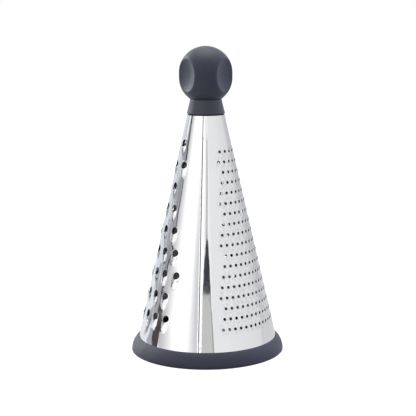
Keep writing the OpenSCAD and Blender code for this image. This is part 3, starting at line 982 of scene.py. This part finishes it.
# Softbox and flags that only the steel's reflections see: name; levels from the
# foot to the head, each with its distance, its height, and its left and right
# edges in degrees from the camera's side; radiance; and the shares of the card
# that fade at its left, right, foot and head
CARDS = (
    ("softbox", ((1.7, 0.12, -108, -8), (1.7, 1.3, -108, -8)),
     (1.35, 1.35, 1.35), (0.02, 0.01, 0.08, 0.1)),
    ("low_wall", ((1.75, 0, -108, -20), (1.75, 0.3, -108, -20)),
     (1.1, 1.09, 1.08), (0.02, 0.1, 0, 0.6)),
    ("softbox_left", ((1.62, 0.05, -108, -52), (1.62, 1.3, -108, -52)),
     (0.56, 0.56, 0.6), (0.02, 0.75, 0, 0.1)),
    ("softbox_edge", ((1.6, 0.05, -46, -16), (1.6, 0.85, -28.5, -20.3)),
     (0.7, 0.71, 0.76), (0.95, 0.02, 0, 0.6)),
    ("left_back", ((0.64, -0.05, -165, -97), (0.64, 0.4, -165, -97)),
     (0.74, 0.78, 0.87), (0.1, 0.02, 0, 0.1)),
    ("side_grey",
     ((0.62, 0, -126, -104), (0.62, 0.1, -127, -95), (0.62, 0.15, -130, -87),
      (0.62, 0.28, -130, -86), (0.62, 0.3, -129, -89), (0.62, 0.38, -128, -89)),
     (0.4, 0.4, 0.44), (0.25, 0.02, 0, 0.15)),
    ("side_streak",
     ((0.615, 0, -117, -113), (0.615, 0.13, -117, -112), (0.615, 0.18, -127, -109),
      (0.615, 0.4, -127, -106)),
     (0.66, 0.68, 0.74), (0.4, 0.4, 0, 0.1)),
    ("side_dark", ((0.61, 0.05, -106, -94), (0.61, 0.3, -101, -92)),
     (0.33, 0.33, 0.37), (0.6, 0.2, 0.1, 0.2)),
    ("side_gleam", ((0.6, 0.25, -113, -101), (0.6, 0.35, -118, -102)),
     (1.1, 1.1, 1.12), (0.3, 0.25, 0.2, 0)),
    ("side_floor", ((0.19, 0.001, -110, -97), (0.6, 0.001, -115, -99)),
     (0.42, 0.44, 0.5), (0.15, 0.02, 0.02, 0)),
    ("left_floor", ((0.1, 0.0008, -175, -97), (1.4, 0.0008, -175, -97)),
     (0.86, 0.89, 0.96), (0.1, 0.02, 0, 0.1)),
    ("front_floor", ((0.1, 0.0008, -97, 4), (1.7, 0.0008, -97, 4)),
     (1.15, 1.15, 1.15), (0.02, 0.05, 0, 0.1)),
    ("floor_streak_a", ((0.12, 0.0015, -90, -83), (1.5, 0.0015, -88, -84)),
     (0.25, 0.25, 0.27), (0.4, 0.4, 0.1, 0.1)),
    ("floor_streak_b", ((0.12, 0.0015, -122, -114), (1.5, 0.0015, -120, -115)),
     (0.25, 0.25, 0.28), (0.4, 0.4, 0.1, 0.1)),
    ("side_flag",
     ((0.59, 0, -105, -86), (0.59, 0.05, -101, -87), (0.59, 0.096, -95, -87)),
     (0.085, 0.065, 0.068), (0.08, 0.06, 0, 0.55)),
    ("side_line",
     ((0.585, 0.06, -101.5, -98.5), (0.585, 0.12, -95, -92), (0.585, 0.15, -89, -85.5),
      (0.585, 0.25, -87.5, -84.5), (0.585, 0.265, -92, -84.5), (0.585, 0.285, -94, -84.5),
      (0.585, 0.305, -97, -88), (0.585, 0.34, -97, -88.5)),
     (0.045, 0.045, 0.055), (0.15, 0.08, 0.02, 0.02)),
    ("front_floor_line", ((0.35, 0.001, -7, 7), (1.5, 0.001, -7, 7)),
     (0.16, 0.16, 0.18), (0.3, 0.3, 0.2, 0)),
    ("right_wall", ((1.75, -0.2, 8, 150), (1.75, 1.3, 8, 150)),
     (0.9, 0.905, 0.93), (0.02, 0.1, 0, 0.1)),
    ("far_right", ((1.7, -0.2, 20, 150), (1.7, 1.3, 20, 150)),
     (0.78, 0.785, 0.81), (0.9, 0.05, 0, 0.1)),
    ("right_back", ((0.64, -0.1, 98, 170), (0.64, 0.4, 98, 170)),
     (0.6, 0.605, 0.64), (0.45, 0.05, 0, 0.2)),
    ("right_floor", ((0.1, 0.001, 84, 165), (1.74, 0.001, 84, 165)),
     (0.7, 0.705, 0.73), (0.2, 0.05, 0, 0)),
    ("front_flag",
     ((1.59, 0.3725, -9.3, 7.8), (1.59, 0.44, -6.1, 5.6), (1.59, 0.502, -0.9, 3.0)),
     (0.05, 0.053, 0.07), (0.05, 0.03, 0.05, 0.04)),
    ("front_line", ((1.6, 0.48, -4.5, 2.6), (1.6, 0.75, 0.5, 8.5)),
     (0.58, 0.58, 0.62), (0.3, 0.3, 0.1, 0.1)),
    ("front_grey", ((1.6, 0.2, -11.4, 11.5), (1.6, 0.39, -12, 6.6)),
     (0.62, 0.62, 0.62), (0.1, 0.02, 0, 0)),
    ("front_edge", ((1.58, 0.2, 9.2, 12.2), (1.58, 0.376, 5.4, 7.1)),
     (0.32, 0.32, 0.34), (0.5, 0.1, 0, 0)),
)


def card_point(levels, across, up):
    """Point of a card, found between its levels."""
    place = up * (len(levels) - 1)
    below = min(int(place), len(levels) - 2)
    risen = place - below
    away, height, left, right = (
        low + (high - low) * risen for low, high in zip(levels[below], levels[below + 1]))
    turn = math.radians(left + (right - left) * across)
    return away * math.sin(turn), -away * math.cos(turn), height


# Faces across a card and between two of its levels, and the narrowest fade
CARD_ACROSS, CARD_UP, LEAST_FADE = 12, 4, 0.001


def make_card(name, levels, rgb, soft):
    """A curved card round the object, which only reflections see."""
    material, tree = new_material(name)
    clear = tree.nodes.new("ShaderNodeBsdfTransparent")
    glow = add_node(tree, "ShaderNodeEmission", {"Color": (*rgb, 1.0)})
    place = tree.nodes.new("ShaderNodeUVMap").outputs[0]
    across, up = add_node(tree, "ShaderNodeSeparateXYZ", {0: place}).outputs[:2]
    inward = (across, math_node(tree, "SUBTRACT", 1, across),
              up, math_node(tree, "SUBTRACT", 1, up))
    total = 1
    for side, width in zip(inward, soft):
        fade = add_node(tree, "ShaderNodeMapRange", {
            "Value": side, "From Max": max(width, LEAST_FADE)})
        fade.interpolation_type = "SMOOTHSTEP"
        total = math_node(tree, "MULTIPLY", fade.outputs[0], total)
    mix = add_node(tree, "ShaderNodeMixShader", {
        0: total, 1: clear.outputs[0], 2: glow.outputs[0]})
    add_node(tree, "ShaderNodeOutputMaterial", {"Surface": mix.outputs[0]})
    bm = bmesh.new()
    bm.loops.layers.uv.new("UVMap")
    rows = CARD_UP * (len(levels) - 1)
    bmesh.ops.create_grid(
        bm, x_segments=CARD_ACROSS, y_segments=rows, size=0.5, calc_uvs=True)
    for vert in bm.verts:
        vert.co = card_point(levels, vert.co.x + 0.5, vert.co.y + 0.5)
    card = new_object(name, bm, material)
    card.visible_camera = False
    card.visible_diffuse = False
    card.visible_shadow = False


def make_lamps():
    """Soft lamps from above, from the left and from the right."""
    make_lamp("top_light", (0.0, 0.3, 1.7), size=1.2, power=17)
    make_lamp("left_light", (-1.45, 0.95, 0.5), size=1.3, power=34)
    right = make_lamp("right_light", (1.3, 0.65, 0.7), size=1.0, power=23)
    right.visible_glossy = False


# The camera, as fitted to the photograph; lens and sensor in millimetres
CAMERA_PLACE = (0.0, -0.8674, 0.2581)
CAMERA_PITCH, CAMERA_TURN, CAMERA_TILT = math.radians(9.54), 0.0013, -0.00637
CAMERA_LENS, CAMERA_SENSOR = 97.37, 36.0


def make_camera():
    """The camera at the photograph's angle."""
    lens = bpy.data.cameras.new("camera")
    lens.sensor_width = CAMERA_SENSOR
    lens.lens = CAMERA_LENS
    camera = bpy.data.objects.new("camera", lens)
    camera.matrix_world = (
        Matrix.Translation(CAMERA_PLACE) @ Matrix.Rotation(-CAMERA_TURN, 4, "Z")
        @ Matrix.Rotation(math.pi / 2 - CAMERA_PITCH, 4, "X")
        @ Matrix.Rotation(CAMERA_TILT, 4, "Z"))
    bpy.context.scene.collection.objects.link(camera)
    bpy.context.scene.camera = camera


class GRATER_OT_sheet(bpy.types.Operator):
    """Stamp, roll and finish the steel sheet with its three zones"""

    bl_idname = "grater.sheet"
    bl_label = "Rolled Sheet"

    def execute(self, context):
        make_sheet(context.scene)
        return {"FINISHED"}


class GRATER_OT_knob(bpy.types.Operator):
    """Turn the soft knob and press its thumb dimples"""

    bl_idname = "grater.knob"
    bl_label = "Soft Knob"

    def execute(self, context):
        make_knob(context.scene)
        return {"FINISHED"}


class GRATER_OT_collar(bpy.types.Operator):
    """Turn the flared collar under the knob"""

    bl_idname = "grater.collar"
    bl_label = "Flared Collar"

    def execute(self, context):
        make_collar(context.scene)
        return {"FINISHED"}


class GRATER_OT_ring(bpy.types.Operator):
    """Turn the soft ring round the foot"""

    bl_idname = "grater.ring"
    bl_label = "Base Ring"

    def execute(self, context):
        make_ring(context.scene)
        return {"FINISHED"}


class GRATER_OT_inner_parts(bpy.types.Operator):
    """Give the carrier, plug, knob core, insert, washer and screw their finish"""

    bl_idname = "grater.inner_parts"
    bl_label = "Inner Parts"

    def execute(self, context):
        make_inner_parts(context.scene)
        return {"FINISHED"}


class GRATER_OT_stage(bpy.types.Operator):
    """Set up the floor, surround, cards, lamps and camera"""

    bl_idname = "grater.stage"
    bl_label = "Studio Stage"

    def execute(self, context):
        context.scene.view_settings.view_transform = "Standard"
        make_floor()
        make_world()
        for card in CARDS:
            make_card(*card)
        make_lamps()
        make_camera()
        return {"FINISHED"}


class GRATER_PT_panel(bpy.types.Panel):
    """Builds the grater's pieces and lists their sizes"""

    bl_label = "Conical Grater"
    bl_idname = "GRATER_PT_panel"
    bl_space_type = "VIEW_3D"
    bl_region_type = "UI"
    bl_category = "Grater"

    def draw(self, context):
        for operator in OPERATORS:
            self.layout.operator(operator.bl_idname)
        for name in GROUPS:
            group = getattr(context.scene, name)
            box = self.layout.box()
            box.label(text=name.replace("grater_", "").capitalize())
            for key in group.__annotations__:
                box.prop(group, key)


OPERATORS = (
    GRATER_OT_sheet, GRATER_OT_knob, GRATER_OT_collar, GRATER_OT_ring,
    GRATER_OT_inner_parts, GRATER_OT_stage,
)
GROUPS = {
    "grater_sheet": GraterSheet,
    "grater_coarse": GraterZone,
    "grater_medium": GraterZone,
    "grater_fine": GraterZone,
    "grater_knob": GraterKnob,
    "grater_neck": GraterNeck,
    "grater_ring": GraterRing,
    "grater_finish": GraterFinish,
}
GROUP_CLASSES = tuple(dict.fromkeys(GROUPS.values()))


def register():
    """Adds the classes and the properties to Blender."""
    for item in (*GROUP_CLASSES, *OPERATORS, GRATER_PT_panel):
        bpy.utils.register_class(item)
    for name, group in GROUPS.items():
        setattr(bpy.types.Scene, name, PointerProperty(type=group))


def unregister():
    """Takes them out again."""
    for name in GROUPS:
        delattr(bpy.types.Scene, name)
    for item in (GRATER_PT_panel, *OPERATORS, *GROUP_CLASSES):
        bpy.utils.unregister_class(item)


def main():
    """Builds every piece and the stage."""
    register()
    bpy.ops.grater.sheet()
    bpy.ops.grater.knob()
    bpy.ops.grater.collar()
    bpy.ops.grater.ring()
    bpy.ops.grater.inner_parts()
    bpy.ops.grater.stage()


if __name__ == "__main__":
    main()
